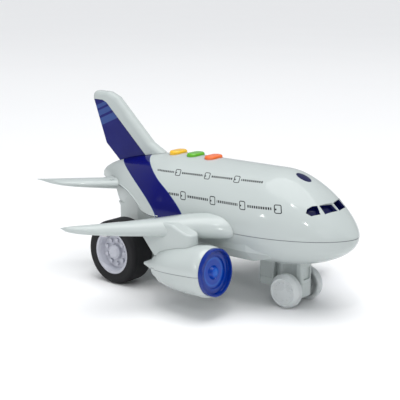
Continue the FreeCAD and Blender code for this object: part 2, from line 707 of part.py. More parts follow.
def spun(profile, closing):
    """A solid of revolution about X from a smooth profile and straight closing points."""
    curve = Part.BSplineCurve()
    curve.interpolate([Vector(x, r, 0) for x, r in profile])
    corners = [Vector(*profile[-1], 0)] + [Vector(x, r, 0) for x, r in closing] + [Vector(*profile[0], 0)]
    edges = [curve.toShape()] + [Part.LineSegment(a, b).toShape() for a, b in zip(corners, corners[1:])]
    return Part.Face(Part.Wire(edges)).revolve(Vector(), Vector(1, 0, 0), 360)


def cowl_body(grow):
    profile = [(x, r + grow) for x, r in COWL_PROFILE]
    closing = [(-38.4 - grow, 9.4 + grow), (-38.6 - grow, CORE_RADIUS + grow),
               (CORE_REAR - grow, CORE_RADIUS - 0.8 + grow), (CORE_REAR - grow, 0), (grow, 0)]
    return spun(profile, closing)


def nacelle_solid(grow):
    return to_engine(cowl_body(grow))


def nacelle_half(up):
    wall = size("cowl_wall")
    inner_profile = [(x, r - wall) for x, r in COWL_PROFILE]
    inner = spun([(0.5, inner_profile[0][1])] + inner_profile[1:], [(-37.4, CORE_RADIUS - wall),
                 (CORE_REAR + wall, CORE_RADIUS - 0.8 - wall), (CORE_REAR + wall, 0), (0.5, 0)])
    bulkhead = Part.makeCylinder(14.0, 1.5, Vector(BULKHEAD_X, 0, 0), Vector(1, 0, 0))
    shell = cowl_body(0).cut(inner).fuse(bulkhead.common(cowl_body(-0.5)))
    shell = shell.cut(Part.makeCylinder(LED_RADIUS + 0.05, 6, Vector(BULKHEAD_X - 2, 0, 0), Vector(1, 0, 0)))
    shell = shell.cut(Part.makeCylinder(CONE_RADIUS + 0.05, 6, Vector(CORE_REAR - 1, 0, 0), Vector(1, 0, 0)))
    half_space = block(-80, 20, -30, 30, 0.06, 30)
    if up < 0:
        half_space = half_space.mirror(Vector(), Vector(0, 0, 1))
    post = Part.makeCylinder(2.6, 30, Vector(ENGINE_SCREW_X, 0, 0.06), Vector(0, 0, up))
    shell = shell.fuse(post.common(cowl_body(0))).common(half_space)
    if up > 0:
        shell = shell.cut(Part.makeCylinder(0.9, 7, Vector(ENGINE_SCREW_X, 0, 0)))
        return shell
    shell = shell.cut(Part.makeCylinder(1.1, 30, Vector(ENGINE_SCREW_X, 0, -30)))
    return shell.cut(Part.makeCylinder(2.2, 20, Vector(ENGINE_SCREW_X, 0, ENGINE_SCREW_SEAT - 20)))


def exhaust_cone():
    """Tail cone trapped in the rear of the nacelle by its collar."""
    collar = Part.makeCylinder(CONE_RADIUS + 1.0, 1.2, Vector(CORE_REAR + 1.7, 0, 0), Vector(1, 0, 0))
    cone = spun([(CORE_REAR + 2.9, CONE_RADIUS), (CORE_REAR - 1, CONE_RADIUS - 0.2),
                 (CORE_REAR - 6, 3.3), (CONE_TIP, 1.0)], [(CONE_TIP, 0), (CORE_REAR + 2.9, 0)])
    return cone.fuse(collar)


def wire_path(radius):
    """Straight run for the lamp wires from the fuselage through the wing tab and rib."""
    return cylinder_between(Vector(22, -28, SEAM), Vector(22, -41, SEAM), radius)


# ---------------------------------------------------------------- gears

def gear_solid(teeth, width, y0, bore, phase):
    """Involute spur gear about Y with shortened teeth, a little thin for running play."""
    module = size("gear_module")
    pitch = module * teeth / 2
    base = pitch * math.cos(math.radians(20))
    tip, root = pitch + 0.8 * module, pitch - 1.1 * module
    slack = 0.05 / pitch
    roll = math.tan(math.radians(20)) - math.radians(20)
    half_angle = math.pi / (2 * teeth) + roll - slack
    flank = []
    for step in range(5):
        radius = max(base, root) + (tip - max(base, root)) * step / 4
        turn = math.sqrt(max((radius / base) ** 2 - 1, 0))
        flank.append((radius, half_angle - (turn - math.atan(turn))))
    corners = []
    for tooth in range(teeth):
        middle = 2 * math.pi * tooth / teeth + phase
        side = [(root, flank[0][1] + 0.02)] + flank
        for radius, angle in side:
            corners.append((radius, middle - angle))
        for radius, angle in side[::-1]:
            corners.append((radius, middle + angle))
    points = [(r * math.cos(a), r * math.sin(a)) for r, a in corners]
    solid = prism(points, y0, y0 + width)
    if bore > 0:
        solid = solid.cut(cylinder_between(Vector(0, y0 - 1, 0), Vector(0, y0 + width + 1, 0), bore))
    return solid


# ---------------------------------------------------------------- friction motor layout

AXLE_POINT = (size("rear_axle_x"), size("tyre_radius"))
MODULE = size("gear_module")
AXLE_TEETH, IDLER_SMALL, IDLER_LARGE, FLY_TEETH = 22, 12, 24, 10


def stepped(point, reach, degrees):
    """A point at this reach and direction from another, in the XZ plane."""
    angle = math.radians(degrees)
    return (point[0] + reach * math.cos(angle), point[1] + reach * math.sin(angle))


IDLER_TURN, FLY_TURN = 50.0, 10.0
IDLER_POINT = stepped(AXLE_POINT, MODULE * (AXLE_TEETH + IDLER_SMALL) / 2, IDLER_TURN)
FLY_POINT = stepped(IDLER_POINT, MODULE * (IDLER_LARGE + FLY_TEETH) / 2, FLY_TURN)
CASE_OUTLINE = [(-49.4, 13.7), (-33.0, 13.7), (-18.3, 23.9), (-18.3, 39.5), (-43.0, 39.5), (-49.4, 33.0)]
CASE_RIGHT_Y, PLATE_Y, PLATE_THICK, CASE_LEFT_Y, CASE_WALL = -8.0, 2.0, 1.2, 9.6, 1.0
CASE_SCREWS = [(-46.9, 31.8), (-20.9, 36.9), (-40.8, 36.9)]
IDLER_PIN_Y, IDLER_PIN_HALF = -2.2, 5.4


def rod(point, y0, y1, radius):
    """A cylinder along Y through a point given in X and Z."""
    return cylinder_between(Vector(point[0], y0, point[1]), Vector(point[0], y1, point[1]), radius)


def at_point(shape, point):
    return shape.translated(Vector(point[0], 0, point[1]))


def shrunk_outline(points, inset):
    face = Part.Face(Part.makePolygon([Vector(x, 0, z) for x, z in points + points[:1]]))
    smaller = face.makeOffset2D(-inset)
    return [(v.X, v.Z) for v in smaller.OuterWire.OrderedVertexes]


def case_cup(y_wall, y_rim):
    """Half of the motor case: a flat wall at y_wall and a rim that reaches y_rim."""
    low, high = sorted((y_wall, y_rim))
    inner = shrunk_outline(CASE_OUTLINE, CASE_WALL)
    toward = CASE_WALL if y_rim > y_wall else -CASE_WALL
    hollow_low, hollow_high = sorted((y_wall + toward, y_rim + toward))
    cup = prism(CASE_OUTLINE, low, high).cut(prism(inner, hollow_low, hollow_high))
    for spot in CASE_SCREWS:
        cup = cup.fuse(rod(spot, low, high, 2.0).common(prism(CASE_OUTLINE, low, high)))
        cup = cup.cut(rod(spot, low - 1, high + 1, 0.9 if y_wall < 0 else 1.1))
    running = size("running_gap")
    cup = cup.cut(rod(AXLE_POINT, low - 1, high + 1, size("rear_axle_radius") + running))
    return cup.cut(rod(FLY_POINT, low - 1, high + 1, size("motor_pin_radius") + 0.05))


def case_plate():
    plate = prism(CASE_OUTLINE, PLATE_Y + 0.05, PLATE_Y + PLATE_THICK)
    plate = plate.cut(rod(AXLE_POINT, 0, 5, size("rear_axle_radius") + size("running_gap")))
    plate = plate.cut(rod(FLY_POINT, 0, 5, size("motor_pin_radius") + 0.05))
    plate = plate.cut(rod(IDLER_POINT, 0, 5, size("motor_pin_radius") + 0.01))
    for spot in CASE_SCREWS:
        plate = plate.cut(rod(spot, 0, 5, 1.1))
    return plate


def case_right():
    return case_cup(CASE_RIGHT_Y, PLATE_Y).cut(rod(IDLER_POINT, CASE_RIGHT_Y - 1, -6.9,
                                                   size("motor_pin_radius") + 0.01))


def axle_gear():
    bore = size("rear_axle_radius") + 0.01
    gear = gear_solid(AXLE_TEETH, 3.0, -5.5, bore, math.radians(IDLER_TURN))
    hub = cylinder_between(Vector(0, -6.6, 0), Vector(0, -2.3, 0), 2.6)
    hub = hub.cut(cylinder_between(Vector(0, -7, 0), Vector(0, 3, 0), bore))
    return at_point(gear.fuse(hub), AXLE_POINT)


def idler_gear():
    bore = size("motor_pin_radius") + 0.06
    mesh = math.radians(IDLER_TURN) + math.pi + math.pi / IDLER_SMALL
    small = gear_solid(IDLER_SMALL, 4.4, -6.4, bore, mesh)
    large = gear_solid(IDLER_LARGE, 3.0, -2.0, bore, math.radians(FLY_TURN))
    return at_point(small.fuse(large), IDLER_POINT)


def flywheel():
    """Steel disc with its shaft, and the pinion that the idler drives."""
    mesh = math.radians(FLY_TURN) + math.pi + math.pi / FLY_TEETH
    pinion = gear_solid(FLY_TEETH, 3.6, -2.2, 0, mesh)
    shaft = cylinder_between(Vector(0, CASE_RIGHT_Y + 0.3, 0), Vector(0, CASE_LEFT_Y - 0.2, 0),
                             size("motor_pin_radius"))
    disc = cylinder_between(Vector(0, 3.8, 0), Vector(0, 8.0, 0), size("flywheel_radius"))
    groove = cylinder_between(Vector(0, 7.2, 0), Vector(0, 8.5, 0), size("flywheel_radius") - 2.2)
    hub = cylinder_between(Vector(0, 3.6, 0), Vector(0, 8.2, 0), 2.2)
    return at_point(disc.cut(groove).fuse(hub).fuse(shaft).fuse(pinion), FLY_POINT)


# ---------------------------------------------------------------- screws

def screw(foot, direction, length, radius=None, head=None):
    """A pan-head self-tapping screw: foot is under its head, direction the way it drives."""
    radius = radius or size("screw_radius")
    head = head or size("screw_head_radius")
    depth = size("screw_head_depth") * head / size("screw_head_radius")
    shank = Part.makeCylinder(radius, length, foot, direction)
    cap = Part.makeCylinder(head, depth, foot, direction * -1)
    top = foot - direction * depth
    across = Part.makeBox(2 * head, 0.5, depth / 2)
    across.translate(Vector(-head, -0.25, 0))
    up = Part.makeBox(0.5, 2 * head, depth / 2)
    up.translate(Vector(-0.25, -head, 0))
    slot = across.fuse(up).common(Part.makeCylinder(head * 0.62, depth))
    slot.Placement = Placement(top, Rotation(Vector(0, 0, 1), direction))
    return shank.fuse(cap.cut(slot))


SCREW_SEAT = 33.0
UP = Vector(0, 0, 1)


def group(solids):
    return Part.makeCompound(solids)


def case_screws():
    return group([screw(Vector(x, CASE_LEFT_Y, z), Vector(0, -1, 0), 15, 0.85, 1.8) for x, z in CASE_SCREWS])


def fuselage_screws():
    return group([screw(Vector(x, side * y, SCREW_SEAT), UP, 20, 1.15)
                  for x, y in SHELL_POSTS for _, side in SIDES])


def board_screws():
    return group([screw(Vector(x, side * BOARD_SCREW_Y, size("board_height")), UP, 4.4, 0.75, 1.6)
                  for x in BOARD_SCREW_X for _, side in SIDES])


def nacelle_screws():
    solids = []
    for _, side in SIDES:
        one = to_engine(screw(Vector(ENGINE_SCREW_X, 0, ENGINE_SCREW_SEAT), UP, 10, 0.85, 1.8))
        solids.append(mirrored(one, side))
    return group(solids)


def wing_cover_screws():
    solids = []
    for _, side in SIDES:
        for x, y in wing_screw_places():
            solids.append(mirrored(screw(Vector(x, y, 47.2), UP, 3.6, 0.85, 1.8), side))
    return group(solids)


# ---------------------------------------------------------------- nose gear

BRACKET_SCREW_X = (52.0, 67.0)
BRACKET_SPLIT = 14.3
COLUMN_X, BLOCK_X = (47.5, 58.5), (61.9, 79.5)


def nose_gear_body():
    half = size("bracket_half_width")
    top = 34.0
    column = block(COLUMN_X[0], COLUMN_X[1], -half, half, 9.6, top)
    column = softened(column, 1.5, [e for e in column.Edges if e.BoundBox.ZLength > 5])
    front = block(BLOCK_X[0], BLOCK_X[1], -half, half, size("bracket_base"), top)
    front = softened(front, 2.0, [e for e in front.Edges if e.BoundBox.ZLength > 5])
    for _, side in SIDES:
        waist = Part.makeCylinder(9.0, 14, Vector(0.5 * sum(BLOCK_X), side * (half + 7.6), BRACKET_SPLIT + 1.2))
        front = front.cut(waist)
    front = front.cut(block(BLOCK_X[1] - 1.2, BLOCK_X[1] + 1, -half + 2.2, half - 2.2, 16.5, 24.0))
    web = block(COLUMN_X[1] - 2, BLOCK_X[0] + 2, -2.0, 2.0, 11.0, top)
    body = column.fuse(web).fuse(front).cut(belly_solid(-size("skin_gap"), size("box_front_x")))
    body = body.cut(rod((size("front_axle_x"), size("front_wheel_radius")), -20, 20,
                        size("front_axle_radius") + size("running_gap")))
    for x in BRACKET_SCREW_X:
        body = body.cut(Part.makeCylinder(0.9, 9, Vector(x, 0, 19.5)))
    return body


def nose_gear_part(up):
    gap = 0.05
    zone = block(40, 90, -20, 20, BRACKET_SPLIT + gap, 60) if up else \
        block(40, 90, -20, 20, 0, BRACKET_SPLIT - gap)
    return nose_gear_body().common(zone)


def bracket_screws():
    solids = []
    for x in BRACKET_SCREW_X:
        seat = SEAM - belly(x, WALL)
        solids.append(screw(Vector(x, 0, seat + 0.15), UP * -1, seat - 20.5, 0.85, 2.0))
    return group(solids)


# ---------------------------------------------------------------- soft and electrical pieces

def button_pad():
    """Rubber sheet on the board with one low dome under each button."""
    low = size("board_height") + size("board_thick") + 0.05
    half = size("button_width") / 2
    sheet_solid = block(button_x[0] - 6, button_x[-1] + 6, -half, half, low, low + 1.0)
    for x in button_x:
        dome = Part.makeCone(3.6, 2.6, 2.0, Vector(x, 0, low + 1.0))
        sheet_solid = sheet_solid.fuse(dome)
        sheet_solid = sheet_solid.cut(Part.makeCone(2.8, 1.8, 1.8, Vector(x, 0, low)))
    return sheet_solid


def circuit_board():
    board = block(BOARD_REAR_X, BOARD_FRONT_X, -BOARD_HALF_WIDTH, BOARD_HALF_WIDTH,
                  size("board_height"), size("board_height") + size("board_thick"))
    for x in BOARD_SCREW_X:
        for _, side in SIDES:
            board = board.cut(Part.makeCylinder(0.95, 9, Vector(x, side * BOARD_SCREW_Y, 66)))
    return board


def board_chips():
    """Sound chip under its blob of resin, two capacitors and a resistor row, under the board."""
    top = size("board_height") - 0.05
    solids = [Part.makeCylinder(4.0, 1.6, Vector(-2.0, 0, top - 1.6))]
    solids += [Part.makeCylinder(2.5, 7.0, Vector(-18.0, y, top - 7.0)) for y in (-6.0, 6.0)]
    solids += [block(6.0 + 2.4 * i, 7.4 + 2.4 * i, -9.0, -5.8, top - 1.1, top) for i in range(3)]
    return group(solids)


def battery_cells():
    solids = []
    for i in (-1, 0, 1):
        y, x0 = i * size("cell_pitch"), size("cell_start_x")
        start = Vector(x0, y, size("cell_height"))
        can = Part.makeCylinder(size("cell_radius"), size("cell_length") - 1.5, start, Vector(1, 0, 0))
        nib = Part.makeCylinder(2.6, 1.5, start + Vector(size("cell_length") - 1.5, 0, 0), Vector(1, 0, 0))
        solids.append(can.fuse(nib))
    return group(solids)


def battery_contacts():
    """Flat positive tabs ahead of the cells and coiled negative springs behind them."""
    solids = []
    front = size("cell_start_x") + size("cell_length") + 0.1
    for i in (-1, 0, 1):
        y = i * size("cell_pitch")
        solids.append(block(front, front + 0.4, y - 4, y + 4, size("cell_height") - 4, size("cell_height") + 4))
        rear = size("cell_start_x") - 0.1
        ring = Part.makeTorus(3.0, 0.35, Vector(rear - 0.4, y, size("cell_height")), Vector(1, 0, 0))
        plate = block(rear - 1.4, rear - 1.0, y - 4, y + 4, size("cell_height") - 4, size("cell_height") + 4)
        post = cylinder_between(Vector(rear - 1.2, y, size("cell_height") + 3),
                                Vector(rear - 0.4, y, size("cell_height") + 3), 0.3)
        solids.append(ring.fuse(post).fuse(plate))
    return group(solids)


def speaker():
    base = Vector(SPEAKER_X, 0, SPEAKER_HEIGHT + 1.2)
    frame = Part.makeCylinder(SPEAKER_RADIUS, 1.2, base)
    basket = Part.makeCone(SPEAKER_RADIUS - 0.6, 8.0, 2.6, base + Vector(0, 0, 1.2))
    magnet = Part.makeCylinder(7.0, 3.2, base + Vector(0, 0, 3.8))
    cone = Part.makeCone(SPEAKER_RADIUS - 2, 4.0, 1.6, base)
    return frame.fuse(basket).fuse(magnet).cut(cone)


def cockpit_glazing():
    """One dark moulding that fits the inside of the nose behind all the cockpit panes."""
    zone = block(86.5, 103.5, -21.5, 21.5, 58.8, 68.0)
    return upper_solid(WALL + 0.1).common(zone).cut(upper_solid(WALL + 1.4))


def crown_pane():
    """Small dark lens filling the oval hole in the crown."""
    return crown_pane_post(0.0, -3.2, 5).common(upper_solid(0.05)).fuse(
        crown_pane_post(2.4, -4.4, -3.2))


# ---------------------------------------------------------------- free-form sub-parts

keep_out = clearance_solids()
feature("fuselage_upper_shell", upper_shell())
feature("fuselage_lower_shell", lower_shell())
feature("battery_cover", battery_cover())
feature("tail_fin", fin(keep_out))
starboard = {
    "wing": wing(keep_out), "wing_cover": wing_cover(), "tailplane": tailplane(keep_out),
    "nacelle_upper": to_engine(nacelle_half(1)), "nacelle_lower": to_engine(nacelle_half(-1)),
    "exhaust_cone": to_engine(exhaust_cone()),
}
for piece, shape in starboard.items():
    for name, side in SIDES:
        feature(f"{piece}_{name}", mirrored(shape, side))
feature("cockpit_glazing", cockpit_glazing())
feature("crown_window", crown_pane())
feature("button_pad", button_pad())
feature("circuit_board", circuit_board())
feature("board_components", board_chips())
feature("battery_cells", battery_cells())
feature("battery_contacts", battery_contacts())
feature("speaker", speaker())
feature("motor_case_right", case_right())
feature("motor_case_left", case_cup(CASE_LEFT_Y, PLATE_Y + PLATE_THICK + 0.05))
feature("motor_case_plate", case_plate())
feature("axle_gear", axle_gear())
feature("idler_gear", idler_gear())
feature("flywheel", flywheel())
feature("nose_gear_bracket", nose_gear_part(True))
feature("nose_gear_axle_carrier", nose_gear_part(False))
feature("motor_case_screws", case_screws())
feature("fuselage_screws", fuselage_screws())
feature("board_screws", board_screws())
feature("nacelle_screws", nacelle_screws())
feature("wing_cover_screws", wing_cover_screws())
feature("nose_gear_screws", bracket_screws())


# ---------------------------------------------------------------- turned and sketched sub-parts

def cell(alias):
    """An alias as the other objects' expressions spell it."""
    return f"sizes.{alias}"


def is_arc(edge, least, most=1e9):
    return hasattr(edge.Curve, "Radius") and least < edge.Curve.Radius < most


def ring_of_bumps(body, name, radius, reach, plane_offset, length, count):
    """A polar pattern of round bosses standing on a wheel's outer face."""
    sketch = sketch_on(body, "XZ_Plane", name + "_circle")
    circle(sketch, radius, reach, "0")
    sketch.AttachmentOffset = Placement(Vector(0, 0, plane_offset), Rotation())
    pad = add_pad(body, sketch, name + "_boss", length)
    pattern = body.newObject("PartDesign::PolarPattern", name + "_ring")
    pattern.Originals = [pad]
    pattern.Axis = (plane_of(body, "Y_Axis"), [""])
    pattern.Angle = 360
    pattern.Occurrences = count
    body.Tip = pattern
    doc.recompute()


def tyre(name, side):
    """Rear tyre: a plain rubber ring with rounded shoulders, turned about its axle."""
    outer, inner = cell("tyre_radius"), f"{cell('hub_radius')} + {cell('fit_gap')}"
    width = cell("tyre_width")
    profile = [("0", inner), ("0", outer), (width, outer), (width, inner)]
    body = turned(f"rear_tyre_{name}", "Y", profile)
    big = size("tyre_radius") - 0.1
    round_edges(body, f"rear_tyre_{name}_shoulder", cell("tyre_round"), lambda e: is_arc(e, big))
    start = f"{cell('tyre_face_y')} - {width}" if side > 0 else f"-({cell('tyre_face_y')})"
    place(body, cell("rear_axle_x"), start, cell("tyre_radius"))


def facing(body, side, x, y, z):
    """Put a wheel built facing -Y on its own side: the port one is turned half round."""
    turn = 0 if side < 0 else 180
    body.Placement = Placement(Vector(), Rotation(Vector(0, 0, 1), turn))
    sign = "-" if side < 0 else ""
    for letter, text in zip("xyz", (x, f"{sign}({y})", z)):
        body.setExpression(f"Placement.Base.{letter}", text)


def hub(name, side):
    """Rear hub: barrel, outer lip, dished face, raised cap; the outer face is at y = 0."""
    rim, bore = cell("hub_radius"), f"{cell('rear_axle_radius')} + 0.01"
    width = cell("tyre_width")
    profile = [("0.4", f"{rim} - 1.6"), ("0.4", rim), (width, rim), (width, f"{rim} - 2"),
               ("7", f"{rim} - 2.2"), ("7", "4.2"), (width, "4.2"), (width, bore),
               ("3.4", bore), ("3.4", "0"), ("1.3", "0"), ("1.5", "3.4"),
               ("2.6", "4.8"), ("5", "5.2"), ("5", "10.6"), ("1.8", "11.8")]
    body = turned(f"rear_hub_{name}", "Y", profile)
    ring_of_bumps(body, f"rear_hub_{name}_bump", "1.35", "7.9", -5.4, "2", 9)
    facing(body, side, cell("rear_axle_x"), cell("tyre_face_y"), cell("tyre_radius"))


def front_wheel(name, side):
    """Nose wheel: moulded disc with a rolled rim, a ring of dots and a hollow ribbed back."""
    rim, bore = cell("front_wheel_radius"), f"{cell('front_axle_radius')} + 0.01"
    width = cell("front_wheel_width")
    profile = [("0", f"{rim} - 2.6"), ("0", f"{rim} - 2.2"), (f"{width} * 0.42", rim),
               (f"{width} - 0.8", rim), (width, f"{rim} - 0.8"), (width, f"{rim} - 2"),
               ("2.6", f"{rim} - 2.4"), ("2.6", "3.2"), (width, "3.2"), (width, bore),
               ("2", bore), ("2", "0"), ("0.7", "0"), ("0.7", f"{rim} - 3.2")]
    body = turned(f"front_wheel_{name}", "Y", profile)
    tread = size("front_wheel_radius") - 0.01
    round_edges(body, f"front_wheel_{name}_tread", "1.6",
                lambda e: is_arc(e, tread) and e.CenterOfMass.y < size("front_wheel_width") / 2)
    ring_of_bumps(body, f"front_wheel_{name}_dot", "0.65", "5.6", -1.2, "0.75", 12)
    facing(body, side, cell("front_axle_x"), cell("front_wheel_face_y"), cell("front_wheel_radius"))


def axle(label, radius, half_length, x, z):
    body = turned(label, "Y", [(f"-({half_length})", "0"), (f"-({half_length})", radius),
                               (half_length, radius), (half_length, "0")])
    place(body, x, "0", z)


def set_on_engine(body, side, along):
    """Put a piece turned about X on the engine's tilted axis."""
    body.Placement = Placement(Vector(), Rotation(Vector(0, 1, 0), -size("engine_tilt")))
    body.setExpression("Placement.Base.x", f"{cell('engine_x')} + {along} * cos({cell('engine_tilt')} * 1 deg)")
    body.setExpression("Placement.Base.y", f"{side} * {cell('engine_y')}")
    body.setExpression("Placement.Base.z",
                       f"{cell('engine_height')} + {along} * sin({cell('engine_tilt')} * 1 deg)")


def engine_lens(name, side):
    """Translucent cup lens: flange over the cowl's front edge, stepped floor and centre dome."""
    rim, spigot = cell("lens_radius"), f"{cell('lens_radius')} - {cell('cowl_wall')} - 0.1"
    floor = f"{cell('lens_radius')} - 1.9"
    profile = [("0.05", rim), ("2.6", rim), ("3", f"{rim} - 0.5"), ("3", f"{rim} - 1.3"),
               ("0.9", floor), ("0.9", "9.6"), ("-0.2", "9.2"), ("-0.2", "4.2"),
               ("1.4", "3.2"), ("1.8", "1.4"), ("1.8", "0"), ("-0.2", "0"),
               ("-1.7", "2.2"), ("-1.7", "10.2"), ("-0.6", "11.2"),
               ("-4", f"{spigot} - 1.2"), ("-4", spigot), ("0.05", spigot)]
    body = turned(f"engine_lens_{name}", "X", profile)
    set_on_engine(body, side, "0.0")


def engine_lamp(name, side):
    """Five millimetre lamp held in the nacelle's bulkhead, its flange behind it."""
    profile = [("-4.6", "0"), ("-4.6", "2.9"), ("-3.6", "2.9"), ("-3.6", "2.5"),
               ("1.6", "2.5"), ("3", "1.9"), ("3.7", "0.8"), ("3.8", "0")]
    body = turned(f"engine_lamp_{name}", "X", profile)
    set_on_engine(body, side, "-6.0")


def button(colour, place_in_row):
    """Oval cap through the crown, a wider foot that can't pass it, and a stem over the pad."""
    body = new_body(f"button_{colour}")
    for part, grow, height, level in (("cap", 0.0, 5.4, -5.4), ("foot", 0.9, 1.0, -6.4)):
        sketch = sketch_on(body, "XY_Plane", f"button_{colour}_{part}_outline")
        round_ended(sketch, grow)
        sketch.AttachmentOffset = Placement(Vector(0, 0, level), Rotation())
        add_pad(body, sketch, f"button_{colour}_{part}", f"{height}")
        if part == "cap":
            round_edges(body, f"button_{colour}_edge", "1.3", lambda e: e.BoundBox.ZMin > -0.1)
    stem = sketch_on(body, "XY_Plane", f"button_{colour}_stem_circle")
    circle(stem, "2.2")
    stem.AttachmentOffset = Placement(Vector(0, 0, -8.2), Rotation())
    add_pad(body, stem, f"button_{colour}_stem", "2.4")
    x = f"{cell('button_first_x')} + {place_in_row} * {cell('button_pitch')}"
    place(body, x, "0", cell("button_top"))


for side_name, side_sign in SIDES:
    tyre(side_name, side_sign)
    hub(side_name, side_sign)
    front_wheel(side_name, side_sign)
    engine_lens(side_name, side_sign)
    engine_lamp(side_name, side_sign)
for number, colour_name in enumerate(BUTTONS):
    button(colour_name, number)
axle("rear_axle", cell("rear_axle_radius"), f"{cell('tyre_face_y')} - 3.5", cell("rear_axle_x"),
     cell("tyre_radius"))
axle("front_axle", cell("front_axle_radius"), f"{cell('front_wheel_face_y')} - 2.1",
     cell("front_axle_x"), cell("front_wheel_radius"))
axle("idler_pin", cell("motor_pin_radius"), f"{IDLER_PIN_HALF}", f"{IDLER_POINT[0]}", f"{IDLER_POINT[1]}")
doc.getObject("idler_pin").setExpression("Placement.Base.y", f"{IDLER_PIN_Y}")
feature("battery_cover_screw", screw(Vector(COVER_SCREW_X, 0, COVER_SCREW_SEAT), UP, 6, 0.85, 1.8))

# ---------------------------------------------------------------- checks and export

doc.recompute()
problems = [obj.Name for obj in doc.Objects if {"Invalid", "Error"} & set(obj.State)]
sub_parts = [obj for obj in doc.Objects
             if obj.isDerivedFrom("PartDesign::Body") or obj.TypeId == "Part::Feature"]
for obj in sub_parts:
    if obj.Shape.isNull() or not obj.Shape.isValid() or not obj.Shape.Solids:
        problems.append(obj.Label)
if problems:
    raise SystemExit("broken objects: " + ", ".join(problems))
os.makedirs("parts", exist_ok=True)
for obj in sub_parts:
    obj.Shape.exportStep(f"parts/{obj.Label}.step")
    print(obj.Label, len(obj.Shape.Solids), round(obj.Shape.Volume, 1))
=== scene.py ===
import json
import math

import bpy
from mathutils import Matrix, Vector
from mathutils.bvhtree import BVHTree


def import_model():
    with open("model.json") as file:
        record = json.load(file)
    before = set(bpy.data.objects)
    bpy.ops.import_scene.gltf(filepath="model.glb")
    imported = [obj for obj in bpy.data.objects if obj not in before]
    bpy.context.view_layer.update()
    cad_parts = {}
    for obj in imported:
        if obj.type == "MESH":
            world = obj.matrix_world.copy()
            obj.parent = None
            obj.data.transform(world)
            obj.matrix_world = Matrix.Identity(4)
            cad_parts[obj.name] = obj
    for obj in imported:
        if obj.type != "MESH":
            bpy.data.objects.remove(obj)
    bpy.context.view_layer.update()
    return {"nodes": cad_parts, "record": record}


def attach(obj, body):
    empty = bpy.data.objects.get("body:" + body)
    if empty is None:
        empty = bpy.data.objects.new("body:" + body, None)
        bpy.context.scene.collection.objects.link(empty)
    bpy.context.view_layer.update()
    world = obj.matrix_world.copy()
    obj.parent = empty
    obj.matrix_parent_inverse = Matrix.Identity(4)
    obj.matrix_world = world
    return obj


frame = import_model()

nodes = frame["nodes"]
scene = bpy.context.scene
MM = 0.001


# ---------------------------------------------------------------- node arithmetic


class Field:
    """A number at each point of a surface, worked out by Math nodes."""

    def __init__(self, tree, socket):
        self.tree, self.socket = tree, socket

    def apply(self, operation, *others, clamp=False):
        node = self.tree.nodes.new("ShaderNodeMath")
        node.operation = operation
        node.use_clamp = clamp
        for entry, value in zip(node.inputs, (self, *others)):
            if isinstance(value, Field):
                self.tree.links.new(value.socket, entry)
            else:
                entry.default_value = value
        return Field(self.tree, node.outputs[0])

    def __add__(self, other):
        return self.apply("ADD", other)

    def __sub__(self, other):
        return self.apply("SUBTRACT", other)

    def __mul__(self, other):
        return self.apply("MULTIPLY", other)

    def size(self):
        return self.apply("ABSOLUTE")

    def least(self, other):
        return self.apply("MINIMUM", other)

    def most(self, other):
        return self.apply("MAXIMUM", other)

    def inside(self, edge=0.12):
        """1 where this distance is below 0, 0 where it is above, with a soft edge."""
        return (self * (-1 / edge)).apply("ADD", 0.5, clamp=True)

    def outside(self, edge=0.12):
        return (self * (1 / edge)).apply("ADD", 0.5, clamp=True)


class Finish:
    """A node material with its shader's constants set, and helpers for what varies on it."""

    def __init__(self, name, **constants):
        self.material = bpy.data.materials.new(name)
        self.material.use_nodes = True
        self.tree = self.material.node_tree
        self.shader = self.tree.nodes["Principled BSDF"]
        self.coords = self.tree.nodes.new("ShaderNodeTexCoord").outputs["Object"]
        for label, value in constants.items():
            self.shader.inputs[label.replace("_", " ")].default_value = value

    def places(self):
        """X, Y and Z in millimetres in the aircraft's own frame."""
        split = self.tree.nodes.new("ShaderNodeSeparateXYZ")
        self.tree.links.new(self.coords, split.inputs[0])
        return [Field(self.tree, out) * 1000.0 for out in split.outputs]

    def noise(self, grain_mm, detail=3.0, stretch=(1, 1, 1)):
        """Cloudy noise whose patches are about grain_mm across, from 0 to 1."""
        mapping = self.tree.nodes.new("ShaderNodeMapping")
        mapping.inputs["Scale"].default_value = stretch
        self.tree.links.new(self.coords, mapping.inputs["Vector"])
        node = self.tree.nodes.new("ShaderNodeTexNoise")
        node.inputs["Scale"].default_value = 1000.0 / grain_mm
        node.inputs["Detail"].default_value = detail
        self.tree.links.new(mapping.outputs[0], node.inputs["Vector"])
        return Field(self.tree, node.outputs[0])

    def mixed(self, first, second, share):
        """A colour between two others; each is a colour or the socket of one."""
        node = self.tree.nodes.new("ShaderNodeMix")
        node.data_type = "RGBA"
        entries = [e for e in node.inputs if e.type == "RGBA"]
        for entry, colour in zip(entries, (first, second)):
            if isinstance(colour, bpy.types.NodeSocket):
                self.tree.links.new(colour, entry)
            else:
                entry.default_value = (*colour, 1.0)
        self.tree.links.new(share.socket, node.inputs[0])
        return [o for o in node.outputs if o.type == "RGBA"][0]

    def colour(self, socket):
        self.tree.links.new(socket, self.shader.inputs["Base Color"])

    def roughness(self, low, high, share):
        self.tree.links.new((share * (high - low) + low).socket, self.shader.inputs["Roughness"])

    def bump(self, height, depth_mm, strength=1.0, corner_mm=0.0):
        """Relief from a height field; corner_mm also rounds hard moulded corners."""
        node = self.tree.nodes.new("ShaderNodeBump")
        node.inputs["Strength"].default_value = strength
        node.inputs["Distance"].default_value = depth_mm * MM
        self.tree.links.new(height.socket, node.inputs["Height"])
        if corner_mm:
            corner = self.tree.nodes.new("ShaderNodeBevel")
            corner.samples = 4
            corner.inputs["Radius"].default_value = corner_mm * MM
            self.tree.links.new(corner.outputs[0], node.inputs["Normal"])
        self.tree.links.new(node.outputs[0], self.shader.inputs["Normal"])


